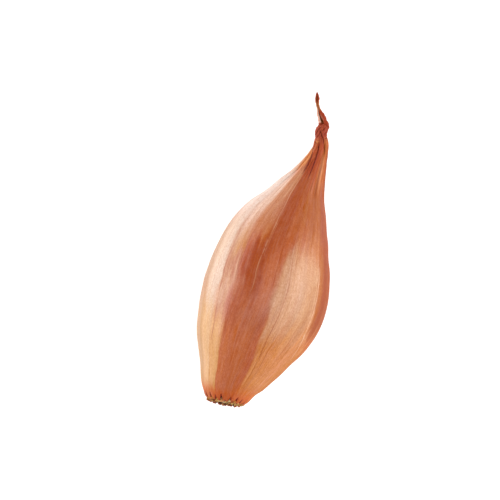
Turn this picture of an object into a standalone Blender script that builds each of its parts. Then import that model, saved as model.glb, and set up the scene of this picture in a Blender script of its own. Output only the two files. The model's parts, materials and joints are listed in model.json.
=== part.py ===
"""A banana shallot lying on its side, as picked and dried.

Three pieces: the bulb in its papery skin with the drawn-in neck, the corky root plate with its ring
of cut root stubs, and the dry leaf tip that stands out of the neck.

The shallot is drawn in its own frame, root at the start and neck along +Y, its bend lying in the XY
plane. One empty then tips it to the way it settles on a table and puts the middle of its underside
at the world origin.
"""

import math

import bmesh
import bpy
from mathutils import Matrix, Vector

MM = 0.001

# Driving dimensions, in millimetres.
# Each station of the bulb: along the axis, sideways bend of the centre line, half width.
BULB_STATIONS = (
    (-1.4, -0.05, 6.10),
    (-0.7, -0.15, 6.95),
    (0.4, -0.30, 7.65),
    (4.5, -0.70, 10.00),
    (9.0, -0.60, 12.30),
    (14.0, -0.45, 15.00),
    (20.0, -0.30, 17.65),
    (27.0, 0.25, 19.95),
    (35.0, 0.65, 21.10),
    (44.0, -0.30, 20.20),
    (52.0, -0.95, 18.35),
    (60.0, -0.65, 15.60),
    (66.0, -0.10, 12.30),
    (72.0, 0.30, 8.80),
    (78.0, 0.95, 6.00),
    (84.0, 1.50, 3.85),
    (88.0, 1.60, 2.80),
    (90.6, 1.25, 2.35),
    (92.2, 0.70, 1.95),
    (93.8, 0.20, 2.10),
    (95.2, 0.30, 1.90),
)
# Each station of the dry leaf tip: along the axis, sideways, half width.
LEAF_STATIONS = (
    (95.9, 0.35, 1.65),
    (97.0, -0.10, 1.30),
    (98.4, -1.25, 1.00),
    (99.7, -2.45, 0.75),
    (101.1, -3.55, 0.50),
    (102.7, -4.15, 0.55),
    (104.0, -4.50, 0.65),
    (105.3, -5.25, 0.20),
)
SECTION_FLATNESS = 0.95  # height of a cross-section of the bulb over its width
LEAF_FLATNESS = 0.7  # the same for the dry leaf tip
RECESS_RADIUS = 5.6  # socket in the skin's rim that the root plate sits in
RECESS_DEPTH = 0.8
GAP = 0.3  # clearance kept between pieces that touch
STUB_REACH = 0.6  # how far each root stub stands out of the root plate's edge
# The root plate from its back to the crown of its dome: distance from its back, radius between the
# stubs, and how much of a stub's reach shows there.
PLATE_PROFILE = (
    (0.0, 4.6, 0.0),
    (0.36, 4.6, 1.0),
    (0.96, 4.6, 1.0),
    (1.2, 4.1, 0.6),
    (1.5, 3.1, 0.0),
    (1.75, 1.2, 0.0),
)

# Counts and shares.
BULB_SEGMENTS = 54
BULB_RINGS = 44
LEAF_SEGMENTS = 10
LEAF_RINGS = 14
STUBS = 22
SEGMENTS_PER_STUB = 4
# Broad flats that run the length of the bulb: how many round it, share of the radius. One of each
# set lies underneath, and they fade out towards the root.
FACETS = ((3, 0.006), (5, 0.006), (8, 0.004))
FACET_FADE = 20.0
UNDERSIDE = -math.pi / 2
# Pleats of the drawn-in neck.
PLEATS = 9
PLEAT_DEPTH = 0.11
PLEAT_START = 66.0
PLEAT_FULL = 88.0

# How it settles on a table: the neck dips, and a small flat is worn where it rests.
REST_PITCH_DEG = -5.5
REST_ROLL_DEG = -1.0
REST_FLAT_DEPTH = 0.30

# Fineness of the calculation.
BEND_STEP = 0.2  # millimetres to each side, to find which way the centre line heads
LENGTH_STEPS = 2000  # steps along a piece, to share out its cross-sections
SPACING_EASE = 2.0  # millimetres added to the half width, so that tips don't take every section

# Finish of each piece: linear colour and roughness.
SKIN_FINISH = ((0.56, 0.22, 0.10, 1.0), 0.42)
ROOT_FINISH = ((0.52, 0.36, 0.16, 1.0), 0.85)
LEAF_FINISH = ((0.35, 0.10, 0.05, 1.0), 0.60)
SHARP_ANGLE_DEG = 35


def through(stations, along):
    """Sideways place and half width at a point along, on a smooth curve through the stations."""
    last = len(stations) - 1
    span = next((i for i in range(last) if along <= stations[i + 1][0]), last - 1)
    start, end = stations[span], stations[span + 1]
    length = end[0] - start[0]
    share = (along - start[0]) / length
    values = []
    for column in (1, 2):
        slopes = []
        for here in (span, span + 1):
            before, after = stations[max(here - 1, 0)], stations[min(here + 1, last)]
            slopes.append((after[column] - before[column]) / (after[0] - before[0]) * length)
        a, b = start[column], end[column]
        values.append(
            a * (1 + 2 * share) * (1 - share) ** 2
            + b * (3 - 2 * share) * share**2
            + slopes[0] * share * (1 - share) ** 2
            + slopes[1] * (share - 1) * share**2
        )
    return values


def smooth_step(low, high, value):
    """0 below low, 1 above high, and smooth between."""
    share = min(max((value - low) / (high - low), 0.0), 1.0)
    return share * share * (3 - 2 * share)


def section_frame(stations, along):
    """Centre, sideways direction and half width of the cross-section at a point along."""
    low = max(along - BEND_STEP, stations[0][0])
    high = min(along + BEND_STEP, stations[-1][0])
    bend = through(stations, high)[0] - through(stations, low)[0]
    tangent = Vector((bend, high - low, 0)).normalized()
    sideways, half_width = through(stations, along)
    return Vector((sideways, along, 0)), Vector((tangent.y, -tangent.x, 0)), half_width


def skin_swell(angle, along):
    """Radius multiplier for the long flats of the belly and the pleats of the neck."""
    fade = smooth_step(0.0, FACET_FADE, along)
    flats = -sum(share * math.cos(count * (angle - UNDERSIDE)) for count, share in FACETS)
    gather = PLEAT_DEPTH * smooth_step(PLEAT_START, PLEAT_FULL, along)
    pleats = gather * (abs(math.cos(PLEATS * angle / 2)) * 2 - 1)
    return 1 + fade * flats + pleats


def bulb_ring(along):
    """The points of one cross-section of the bulb."""
    centre, across, half_width = section_frame(BULB_STATIONS, along)
    points = []
    for i in range(BULB_SEGMENTS):
        angle = math.tau * i / BULB_SEGMENTS
        radius = half_width * skin_swell(angle, along)
        points.append(
            centre
            + across * (radius * math.cos(angle))
            + Vector((0, 0, SECTION_FLATNESS * radius * math.sin(angle)))
        )
    return points


def leaf_ring(along):
    """One cross-section of the dry leaf tip, a slender rolled strip that is thinner than wide."""
    centre, across, half_width = section_frame(LEAF_STATIONS, along)
    points = []
    for i in range(LEAF_SEGMENTS):
        angle = math.tau * i / LEAF_SEGMENTS
        points.append(
            centre
            + across * (half_width * math.cos(angle))
            + Vector((0, 0, LEAF_FLATNESS * half_width * math.sin(angle)))
        )
    return points


def spaced(stations, count):
    """Places along the piece, closer together where it is slender."""
    first, last = stations[0][0], stations[-1][0]
    places, travel = [first], [0.0]
    for i in range(1, LENGTH_STEPS + 1):
        along = first + (last - first) * i / LENGTH_STEPS
        half_width = through(stations, along)[1]
        places.append(along)
        travel.append(travel[-1] + 1 / (half_width + SPACING_EASE))
    chosen, reached = [], 0
    for i in range(count - 1):
        target = travel[-1] * i / (count - 1)
        while travel[reached] < target:
            reached += 1
        chosen.append(places[reached])
    return chosen + [last]


def loft(rings):
    """A closed solid through rings of equally many points, with a cap on the first and the last."""
    body = bmesh.new()
    loops = [[body.verts.new(point * MM) for point in ring] for ring in rings]
    count = len(loops[0])
    for lower, upper in zip(loops, loops[1:]):
        for i in range(count):
            j = (i + 1) % count
            body.faces.new((lower[i], lower[j], upper[j], upper[i]))
    body.faces.new(loops[0])
    body.faces.new(loops[-1])
    bmesh.ops.recalc_face_normals(body, faces=body.faces[:])
    return body


def root_frame():
    """Centre and sideways direction of the root end's rim."""
    centre, across, _ = section_frame(BULB_STATIONS, BULB_STATIONS[0][0])
    return centre, across


def disc_ring(depth, radii):
    """A ring round the root axis, depth millimetres out of the rim, with one radius per point."""
    centre, across = root_frame()
    outwards = Vector((across.y, -across.x, 0))
    points = []
    for i, radius in enumerate(radii):
        angle = math.tau * i / len(radii)
        points.append(
            centre
            + outwards * depth
            + across * (radius * math.cos(angle))
            + Vector((0, 0, SECTION_FLATNESS * radius * math.sin(angle)))
        )
    return points


def bulb_body():
    """The swollen bulb, from the socket for the root plate to the gathered end of the neck."""
    socket = [
        disc_ring(-RECESS_DEPTH, [RECESS_RADIUS] * BULB_SEGMENTS),
        disc_ring(0, [RECESS_RADIUS] * BULB_SEGMENTS),
    ]
    skin = [bulb_ring(along) for along in spaced(BULB_STATIONS, BULB_RINGS)]
    return loft(socket + skin)


def plate_body():
    """The corky root plate: a low dome whose edge is a ring of rounded root stubs."""
    count = STUBS * SEGMENTS_PER_STUB
    lobes = [abs(math.sin(math.pi * i / SEGMENTS_PER_STUB)) for i in range(count)]
    back = -RECESS_DEPTH + GAP
    rings = []
    for rise, radius, share in PLATE_PROFILE:
        rings.append(disc_ring(back + rise, [radius + share * STUB_REACH * lobe for lobe in lobes]))
    return loft(rings)


def leaf_body():
    """The dry leaf tip, curling away from the neck to a point."""
    return loft([leaf_ring(along) for along in spaced(LEAF_STATIONS, LEAF_RINGS)])


def plain_material(name, finish):
    colour, roughness = finish
    material = bpy.data.materials.new(name)
    material.use_nodes = True
    shader = material.node_tree.nodes["Principled BSDF"]
    shader.inputs["Base Color"].default_value = colour
    shader.inputs["Roughness"].default_value = roughness
    shader.inputs["Metallic"].default_value = 0.0
    return material


def add_piece(name, body, material, parent):
    """Turns a finished bmesh into a named object that rides on the shallot's empty."""
    mesh = bpy.data.meshes.new(name)
    body.to_mesh(mesh)
    body.free()
    mesh.shade_smooth()
    mesh.set_sharp_from_angle(angle=math.radians(SHARP_ANGLE_DEG))
    mesh.materials.append(material)
    piece = bpy.data.objects.new(name, mesh)
    piece.parent = parent
    bpy.context.scene.collection.objects.link(piece)
    return piece


def cut_resting_flat(body, placing):
    """Takes off what would reach below the table, which leaves one small flat spot."""
    back = placing.inverted()
    geometry = body.verts[:] + body.edges[:] + body.faces[:]
    cut = bmesh.ops.bisect_plane(
        body,
        geom=geometry,
        plane_co=back @ Vector((0, 0, 0)),
        plane_no=back.to_3x3() @ Vector((0, 0, 1)),
        clear_inner=True,
    )
    rim = [item for item in cut["geom_cut"] if isinstance(item, bmesh.types.BMEdge)]
    bmesh.ops.holes_fill(body, edges=rim, sides=0)
    bmesh.ops.recalc_face_normals(body, faces=body.faces[:])


def settled(bodies):
    """The matrix that lays the shallot on the table with its box's bottom centre at the origin."""
    tipped = Matrix.Rotation(math.radians(REST_PITCH_DEG), 4, "X") @ Matrix.Rotation(
        math.radians(REST_ROLL_DEG), 4, "Y"
    )
    points = [tipped @ vertex.co for body in bodies for vertex in body.verts]
    middle = [
        (min(point[axis] for point in points) + max(point[axis] for point in points)) / 2
        for axis in (0, 1)
    ]
    lowest = min(point.z for point in points)
    drop = -lowest - REST_FLAT_DEPTH * MM
    return Matrix.Translation((-middle[0], -middle[1], drop)) @ tipped


def main():
    for item in list(bpy.data.objects):
        bpy.data.objects.remove(item)
    bulb, plate, leaf = bulb_body(), plate_body(), leaf_body()
    placing = settled((bulb, plate, leaf))
    cut_resting_flat(bulb, placing)
    shallot = bpy.data.objects.new("shallot", None)
    shallot.matrix_world = placing
    bpy.context.scene.collection.objects.link(shallot)
    add_piece("bulb", bulb, plain_material("papery skin", SKIN_FINISH), shallot)
    add_piece("root_plate", plate, plain_material("corky root", ROOT_FINISH), shallot)
    add_piece("dry_leaf_tip", leaf, plain_material("dry leaf", LEAF_FINISH), shallot)


main()
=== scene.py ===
# %% [markdown]
# # A banana shallot
# This lesson dresses a plain solid model of a long shallot that lies on its side: the swollen bulb in
# its papery copper skin, the pleated dry neck, the curled leaf tip that stands out of it, and the corky
# root plate with its dry roots. The solids are the frame. Every new piece is made in the same place and
# at the same size, so the first step loads them.

# %% Load the frame
import json
import math
import random

import bpy
import numpy as np
from mathutils import Matrix, Vector, noise

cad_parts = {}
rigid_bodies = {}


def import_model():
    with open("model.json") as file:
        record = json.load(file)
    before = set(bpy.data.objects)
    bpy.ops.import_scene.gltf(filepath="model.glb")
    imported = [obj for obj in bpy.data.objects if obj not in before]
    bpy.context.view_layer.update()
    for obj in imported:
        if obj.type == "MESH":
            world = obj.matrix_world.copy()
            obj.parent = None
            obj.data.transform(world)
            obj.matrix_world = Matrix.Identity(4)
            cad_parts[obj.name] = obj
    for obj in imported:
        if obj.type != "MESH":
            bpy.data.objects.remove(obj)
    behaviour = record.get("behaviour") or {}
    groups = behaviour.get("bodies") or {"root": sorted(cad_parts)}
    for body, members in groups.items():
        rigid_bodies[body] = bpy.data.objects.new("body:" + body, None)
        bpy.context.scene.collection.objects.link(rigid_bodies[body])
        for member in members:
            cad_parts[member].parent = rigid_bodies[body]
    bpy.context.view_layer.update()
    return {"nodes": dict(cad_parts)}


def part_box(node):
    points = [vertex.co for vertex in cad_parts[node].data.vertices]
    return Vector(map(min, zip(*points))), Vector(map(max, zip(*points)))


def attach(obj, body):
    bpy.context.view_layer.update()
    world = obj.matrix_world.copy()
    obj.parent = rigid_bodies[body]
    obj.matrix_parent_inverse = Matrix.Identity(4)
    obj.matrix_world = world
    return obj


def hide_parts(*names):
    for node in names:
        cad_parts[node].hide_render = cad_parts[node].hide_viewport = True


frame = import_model()
MM = 0.001
print("solids:", sorted(frame["nodes"]))

# %% [markdown]
# ## The curve that everything follows
# A shallot is a stack of cross-sections on a gently bent centre line. Each station says how far along
# the line it is, how far the line has bent sideways there, and the half width of the bulb, all in
# millimetres. A smooth curve through the stations is what a gardener's eye draws too: a narrow root
# end, the widest place at a third, and a long shoulder that runs into the neck.

# %% Stations and the smooth curve through them
BULB_STATIONS = (
    (-1.4, -0.05, 6.10),
    (-0.7, -0.15, 6.95),
    (0.4, -0.30, 7.65),
    (4.5, -0.70, 10.00),
    (9.0, -0.60, 12.30),
    (14.0, -0.45, 15.00),
    (20.0, -0.30, 17.65),
    (27.0, 0.25, 19.95),
    (35.0, 0.65, 21.10),
    (44.0, -0.30, 20.20),
    (52.0, -0.95, 18.35),
    (60.0, -0.65, 15.60),
    (66.0, -0.10, 12.30),
    (72.0, 0.30, 8.80),
    (78.0, 0.95, 6.00),
    (84.0, 1.50, 3.85),
    (88.0, 1.60, 2.80),
    (90.6, 1.25, 2.35),
    (92.2, 0.70, 1.95),
    (93.8, 0.20, 2.10),
    (95.2, 0.30, 1.90),
)
ROOT_END, NECK_END = BULB_STATIONS[0][0], BULB_STATIONS[-1][0]
FLATNESS = 0.95  # height of a cross-section over its width
BEND_REACH = 0.2  # millimetres to each side over which the centre line's turn is read


def through(stations, along):
    """Sideways place and half width at places along, on a smooth curve through the stations."""
    table = np.array(stations)
    places, columns = table[:, 0], table[:, 1:]
    slopes = np.empty_like(columns)
    slopes[1:-1] = (columns[2:] - columns[:-2]) / (places[2:] - places[:-2])[:, None]
    slopes[0] = (columns[1] - columns[0]) / (places[1] - places[0])
    slopes[-1] = (columns[-1] - columns[-2]) / (places[-1] - places[-2])
    along = np.clip(along, places[0], places[-1])
    span = np.clip(np.searchsorted(places, along, side="right") - 1, 0, len(places) - 2)
    length = (places[span + 1] - places[span])[..., None]
    share = (along - places[span])[..., None] / length
    values = (
        columns[span] * (1 + 2 * share) * (1 - share) ** 2
        + columns[span + 1] * (3 - 2 * share) * share**2
        + slopes[span] * length * share * (1 - share) ** 2
        + slopes[span + 1] * length * (share - 1) * share**2
    )
    return values[..., 0], values[..., 1]


def sections(stations, along):
    """Centre, sideways direction and half width of the cross-sections at places along."""
    along = np.atleast_1d(np.asarray(along, float))
    sideways, half_width = through(stations, along)
    low = np.clip(along - BEND_REACH, stations[0][0], stations[-1][0])
    high = np.clip(along + BEND_REACH, stations[0][0], stations[-1][0])
    bend = through(stations, high)[0] - through(stations, low)[0]
    turn = np.arctan2(bend, high - low)
    centre = np.stack([sideways, along, np.zeros_like(along)], -1)
    across = np.stack([np.cos(turn), -np.sin(turn), np.zeros_like(along)], -1)
    return centre, across, half_width


belly = max(BULB_STATIONS, key=lambda station: station[2])
print("widest", belly[0], "mm along, where it is", 2 * belly[2], "mm across")

# %% [markdown]
# ## How it lies
# Left alone, the shallot rolls until a broad flat of its belly is underneath and the heavy end tips the
# neck down a little. The same small turn is given to every piece here, and its place is read from the
# solid bulb's box, so that nothing has to be fitted by eye.

# %% The matrix that lays a piece where the solid lies
REST_PITCH, REST_ROLL = math.radians(-5.5), math.radians(-1.0)
OUTLINE_RINGS = 400
TIPPED = Matrix.Rotation(REST_PITCH, 4, "X") @ Matrix.Rotation(REST_ROLL, 4, "Y")


def laid_matrix():
    """Tips the shallot, then moves it so that its sides, ends and top meet the solid bulb's box."""
    centre, across, half_width = sections(BULB_STATIONS, np.linspace(ROOT_END, NECK_END, OUTLINE_RINGS))
    angles = np.radians(np.arange(360))
    ring = half_width[:, None, None] * (
        across[:, None] * np.cos(angles)[None, :, None]
        + np.array([0, 0, FLATNESS]) * np.sin(angles)[None, :, None]
    )
    points = (centre[:, None] + ring).reshape(-1, 3) * MM @ np.array(TIPPED.to_3x3()).T
    low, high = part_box("bulb")
    shift = (low + high) / 2 - Vector((points.min(0) + points.max(0)) / 2)
    shift.z = high.z - points[:, 2].max()
    return Matrix.Translation(shift) @ TIPPED


LAID = laid_matrix()
print("the root end lies at", [round(v / MM, 2) for v in LAID @ Vector((0, 0, 0))], "mm")

# %% [markdown]
# ## The view
# A shallot can't stand on its root, so it lies down and the camera hangs straight over it, turned a
# little so that the neck leans to the right. A long lens far away keeps the shape free of distortion.

# %% Camera
LENS, SENSOR = 135, 36
FIELD = 165  # millimetres across the view at the shallot's mid height
MID_HEIGHT = 20  # millimetres above the floor
CAMERA_TURN = math.radians(19.46)
LOOK_AT = Vector((-9.7, -2.7, MID_HEIGHT)) * MM

camera_data = bpy.data.cameras.new("camera")
camera_data.lens = LENS
camera_data.sensor_width = SENSOR
camera_data.clip_start = 0.01
camera = bpy.data.objects.new("camera", camera_data)
camera.location = LOOK_AT + Vector((0, 0, FIELD * LENS / SENSOR * MM))
camera.rotation_euler = (0, 0, CAMERA_TURN)
bpy.context.scene.collection.objects.link(camera)
bpy.context.scene.camera = camera
bpy.context.scene.view_settings.view_transform = "Standard"
print("camera", round(camera.location.z / MM), "mm above the floor")

# %% [markdown]
# ## Floor and light
# The floor is a sheet of opal acrylic lit from below. It glows evenly white and dull, so hardly a shadow
# shows on it. Soft boxes stand low at both sides, so that the satin skin shows one broad gleam on each
# flank and stays dark along the top, and a third hangs overhead.


# %% Colours in linear light
def linear(code):
    """The linear colour of an sRGB hex value such as b5603c."""
    shares = [int(code[i : i + 2], 16) / 255 for i in (0, 2, 4)]
    return tuple(c / 12.92 if c <= 0.04045 else ((c + 0.055) / 1.055) ** 2.4 for c in shares) + (1.0,)


print("the middle grey 808080 is", round(linear("808080")[0], 3), "in linear light")

# %% Floor and light
FLOOR_SIZE = 4.0  # metres, so wide that its edge never shows
WORLD_STRENGTH = 0.22
# Each: name, degrees from the view's right, degrees up, distance, width and height in mm, watts.
SOFT_BOXES = (
    ("long low box at the left", 160, 9, 850, 1000, 220, 6.0),
    ("broad box at the right", -4, 24, 850, 700, 560, 5.4),
    ("overhead box", 0, 90, 1200, 800, 800, 5.0),
)

bpy.ops.object.select_all(action="DESELECT")
bpy.ops.mesh.primitive_plane_add(size=FLOOR_SIZE)
floor = bpy.context.object
floor.name = "floor"
acrylic = bpy.data.materials.new("opal acrylic")
acrylic.use_nodes = True
shader = acrylic.node_tree.nodes["Principled BSDF"]
shader.inputs["Base Color"].default_value = linear("c8c8c8")
shader.inputs["Roughness"].default_value = 0.9
shader.inputs["Specular IOR Level"].default_value = 0.2
shader.inputs["Emission Color"].default_value = linear("ffffff")
shader.inputs["Emission Strength"].default_value = 0.8
floor.data.materials.append(acrylic)

for name, heading, rise, distance, width, height, watts in SOFT_BOXES:
    light = bpy.data.lights.new(name, "AREA")
    light.shape = "RECTANGLE"
    light.size = width * MM
    light.size_y = height * MM
    light.energy = watts
    heading, rise = math.radians(heading) + CAMERA_TURN, math.radians(rise)
    toward = Vector((math.cos(heading) * math.cos(rise), math.sin(heading) * math.cos(rise), math.sin(rise)))
    box = bpy.data.objects.new(name, light)
    box.location = (Vector((0, 0, MID_HEIGHT)) + toward * distance) * MM
    box.rotation_euler = (-toward).to_track_quat("-Z", "Y").to_euler()
    bpy.context.scene.collection.objects.link(box)

world = bpy.data.worlds.new("studio")
world.use_nodes = True
world.node_tree.nodes["Background"].inputs["Color"].default_value = linear("ffffff")
world.node_tree.nodes["Background"].inputs["Strength"].default_value = WORLD_STRENGTH
bpy.context.scene.world = world

# %% [markdown]
# ## The bulb's body
# A filled circle is the floor of the socket that the root sits in. It is extruded ring by ring: up to
# the rim, out over the shoulder of the skin, along the belly and into the neck. Each step is a move, a
# resize and a small turn, so each ring stands square to the bent centre line. Rings lie closer together
# where the bulb is slender, and a subdivision surface then rounds the whole body.

# %% Extrude the body ring by ring
BODY_SEGMENTS, BODY_RINGS = 80, 72
SPACING_EASE = 4.0  # millimetres added to the half width, so that the neck doesn't take every ring
SOCKET = ((1.3, 5.0), (0.5, 5.35), (0.1, 5.75))  # depth below the rim, radius
TIP_CLOSE = ((0.35, 0.86), (0.65, 0.62), (0.85, 0.34))  # distance past the neck, share of its half width
SPACING_SAMPLES = 4000


def spaced(stations, count):
    """Places along a piece, closer together where it is slender."""
    samples = np.linspace(stations[0][0], stations[-1][0], SPACING_SAMPLES)
    travel = np.cumsum(1 / (through(stations, samples)[1] + SPACING_EASE))
    travel = (travel - travel[0]) / (travel[-1] - travel[0])
    return np.interp(np.linspace(0, 1, count), travel, samples)


def body_rings(stations, places):
    """Centre, turn and radius of each ring: the socket's, the body's and those that close the tip."""
    centre, across, half_width = sections(stations, places)
    turn = np.arctan2(-across[:, 1], across[:, 0])
    ahead = np.stack([np.sin(turn), np.cos(turn), np.zeros_like(turn)], -1)
    rings = [(centre[0] + ahead[0] * depth, turn[0], radius) for depth, radius in SOCKET]
    rings += list(zip(centre, turn, half_width))
    rings += [(centre[-1] + ahead[-1] * past, turn[-1], share * half_width[-1]) for past, share in TIP_CLOSE]
    return rings


def extrude_rings(name, rings, segments):
    """Starts from a filled circle and extrudes it through the rings, which leaves a closed body."""
    bpy.ops.object.select_all(action="DESELECT")
    (centre, turn, radius), steps = rings[0], rings[1:]
    bpy.ops.mesh.primitive_circle_add(
        vertices=segments,
        radius=radius * MM,
        fill_type="NGON",
        location=Vector(centre) * MM,
        rotation=(math.pi / 2, 0, -turn),
    )
    body = bpy.context.object
    body.name = body.data.name = name
    body.scale.y = FLATNESS
    bpy.ops.object.transform_apply(location=True, rotation=True, scale=True)
    bpy.ops.object.mode_set(mode="EDIT")
    bpy.ops.mesh.select_all(action="SELECT")
    for next_centre, next_turn, next_radius in steps:
        pivot = Vector(next_centre) * MM
        grow = next_radius / radius
        bpy.ops.mesh.extrude_region_move(TRANSFORM_OT_translate={"value": pivot - Vector(centre) * MM})
        bpy.ops.transform.resize(value=(grow, grow, grow), center_override=pivot)
        bpy.ops.transform.rotate(value=next_turn - turn, orient_axis="Z", center_override=pivot)
        centre, turn, radius = next_centre, next_turn, next_radius
    bpy.ops.mesh.select_all(action="SELECT")
    bpy.ops.mesh.normals_make_consistent(inside=False)
    bpy.ops.object.mode_set(mode="OBJECT")
    return body


rings = body_rings(BULB_STATIONS, spaced(BULB_STATIONS, BODY_RINGS))
bulb = extrude_rings("bulb_skin", rings, BODY_SEGMENTS)
print("body:", len(rings), "rings and", len(bulb.data.polygons), "faces")


# %% Round the body
def select_only(piece):
    """Selects one piece and makes it the active one."""
    bpy.ops.object.select_all(action="DESELECT")
    piece.select_set(True)
    bpy.context.view_layer.objects.active = piece


def apply_modifier(piece, name, kind, **settings):
    """Adds a modifier to a piece, applies it and shades the piece smooth."""
    select_only(piece)
    modifier = piece.modifiers.new(name, kind)
    for setting, value in settings.items():
        setattr(modifier, setting, value)
    bpy.ops.object.modifier_apply(modifier=modifier.name)
    bpy.ops.object.shade_smooth()


apply_modifier(bulb, "rounding", "SUBSURF", levels=2, render_levels=2)
print("rounded:", len(bulb.data.vertices), "points")

# %% [markdown]
# ## The shape of the skin
# Up close, the body isn't round. The dry outer skin is drawn tight over the layers below, so it has
# long flat panels that meet in fine ridges, a few raised veins, and pleats and creases where it gathers
# at the neck. At the root end it has torn into small points. Each of these is a line or a band on the
# skin, so each point of the mesh is first told its angle round the bulb and its place along it: 0 degrees
# is the right flank, 90 the top and 180 the left flank.


# %% Where each point of the skin is
PLACE_ROUNDS = 12  # how often a point's place along is put right before it has settled


def wrapped(angle):
    """An angle brought to between -180 and 180 degrees."""
    return (angle + 180) % 360 - 180


def smooth_step(low, high, value):
    """0 below low, 1 above high, and smooth between."""
    share = np.clip((np.asarray(value, float) - low) / (high - low), 0, 1)
    return share * share * (3 - 2 * share)


def between(ends, value):
    """Ends are where it starts, is full, eases off and stops: 1 in the middle and smooth down to 0."""
    start, full, ease, stop = ends
    return smooth_step(start, full, value) * (1 - smooth_step(ease, stop, value))


def mesh_points(piece):
    """The points of a piece's mesh in millimetres."""
    points = np.empty(len(piece.data.vertices) * 3)
    piece.data.vertices.foreach_get("co", points)
    return points.reshape(-1, 3) / MM


def move_points(piece, points):
    """Puts the points of a piece's mesh in new places, in millimetres."""
    piece.data.vertices.foreach_set("co", (points * MM).ravel())
    piece.data.update()


def skin_places(points):
    """Angle in degrees, place along, and the cross-section's centre, sideways direction and half width."""
    along = points[:, 1]
    for _ in range(PLACE_ROUNDS):
        along = np.clip(along, ROOT_END, NECK_END)
        centre, across, half_width = sections(BULB_STATIONS, along)
        offset = points - centre
        along = along + offset[:, 1] * across[:, 0] - offset[:, 0] * across[:, 1]
    angle = np.degrees(np.arctan2(offset[:, 2] / FLATNESS, (offset * across).sum(1)))
    return angle, along, centre, across, half_width


points = mesh_points(bulb)
angle, along, centre, across, half_width = skin_places(points)
reach = np.linalg.norm((points - centre) * (1, 1, 1 / FLATNESS), axis=1) / half_width
print("places along from", along.min().round(2), "to", along.max().round(2), "mm")


# %% Lines and noise on the skin
BELLY_RADIUS = 21.0
SEED_STEP = 17.3  # how far apart two seeds read the noise


def line_distance(line, angle, along, radius):
    """Millimetres from a line drawn on the skin, and the share of the line at the nearest place."""
    nearest = np.full(angle.shape, np.inf)
    share = np.zeros_like(nearest)
    degree = np.radians(radius)
    spans = len(line) - 1
    for i in range(spans):
        (angle_0, along_0), (angle_1, along_1) = line[i], line[i + 1]
        right, ahead = wrapped(angle - angle_0) * degree, along - along_0
        run, rise = (angle_1 - angle_0) * degree, along_1 - along_0
        place = np.clip((right * run + ahead * rise) / (run * run + rise * rise), 0, 1)
        distance = np.hypot(right - place * run, ahead - place * rise)
        closer = distance < nearest
        nearest = np.where(closer, distance, nearest)
        share = np.where(closer, (i + place) / spans, share)
    return nearest, share


def line_mark(line, width, angle, along, radius):
    """1 on the line, 0 off it, thin at both ends."""
    distance, share = line_distance(line, angle, along, radius)
    taper = np.sqrt(np.clip(4 * share * (1 - share), 0, 1)) + 1e-6
    return np.exp(-((distance / (width * taper)) ** 2)) * np.minimum(taper * 1.3, 1)


def soft_noise(lay, across_mm, along_mm, seed):
    """Smooth noise of about -1 to 1 whose blotches have the given size across and along the bulb."""
    scale = np.array([1 / across_mm, 1 / across_mm, 1 / along_mm])
    return np.array([noise.noise(Vector(place)) for place in lay * scale + seed * SEED_STEP])


# The skin's own coordinates in millimetres: round the bulb as if it were a tube, and along it.
turn = np.radians(angle)
lay = np.stack([np.cos(turn) * BELLY_RADIUS, np.sin(turn) * BELLY_RADIUS, along], -1)
lay_round = lay * (1, 1, 0)  # the same all along
print("skin coordinates from", lay.min(0).round(1), "to", lay.max(0).round(1), "mm")

# %% Facets, pleats, flat panels and shoulders
# Four places along say where a shape starts, is full, eases off and stops.
UNDERSIDE = -90.0  # degrees round
FACETS = ((3, 0.006), (5, 0.006), (8, 0.004))  # flats round the belly: how many, and how deep
FACETS_FULL = 20  # place along from which they are full
PLEATS, PLEAT_DEPTH, PLEATED = 9, 0.11, (66, 88, 88, 93)
# Panels of the lower belly meet in edges. Between two edges the skin is drawn flat.
PANEL_EDGES = (-178, -140, -108, -72, -38, -2, 38, 83, 119, 137)
PANEL_FLATNESS, FLATTENED = 0.35, (0, 6, 60, 75)
LESS_FLAT, LESS_FROM, LESS_TO = 0.75, 18, 40  # much of the flatness is lost between these places
# Long blunt shoulders of the belly: degrees round, half width in degrees, share of the radius.
SHOULDERS = ((151, 11, 0.034), (-64, 14, 0.012))
SHOULDERED = (4, 26, 66, 82)

facets = sum(depth * np.cos(count * np.radians(angle - UNDERSIDE)) for count, depth in FACETS)
swell = 1 - smooth_step(0, FACETS_FULL, along) * facets
pleating = np.abs(np.cos(PLEATS * np.radians(angle) / 2)) * 2 - 1
swell += PLEAT_DEPTH * between(PLEATED, along) * pleating

edges = np.array(PANEL_EDGES + (PANEL_EDGES[0] + 360,), float)
above_first = np.where(angle < edges[0], angle + 360, angle)
edge_before = np.clip(np.searchsorted(edges, above_first, side="right") - 1, 0, len(edges) - 2)
low_edge, high_edge = edges[edge_before], edges[edge_before + 1]
half_panel = np.radians(high_edge - low_edge) / 2
from_middle = np.radians(wrapped(angle - (high_edge + low_edge) / 2))
chord = np.cos(half_panel) / np.cos(from_middle)
flatten = PANEL_FLATNESS * between(FLATTENED, along)
flatten *= 1 - LESS_FLAT * smooth_step(LESS_FROM, LESS_TO, along)
swell *= 1 - flatten * (1 - chord)
for middle, half, share in SHOULDERS:
    swell += share * np.exp(-((wrapped(angle - middle) / half) ** 2)) * between(SHOULDERED, along)
print("half width times", swell.min().round(3), "to", swell.max().round(3))

# %% Veins and creases
DARK, PALE = "dark", "pale"
RIDGE_WIDTH = 0.4  # half width in millimetres of a vein's ridge
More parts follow.
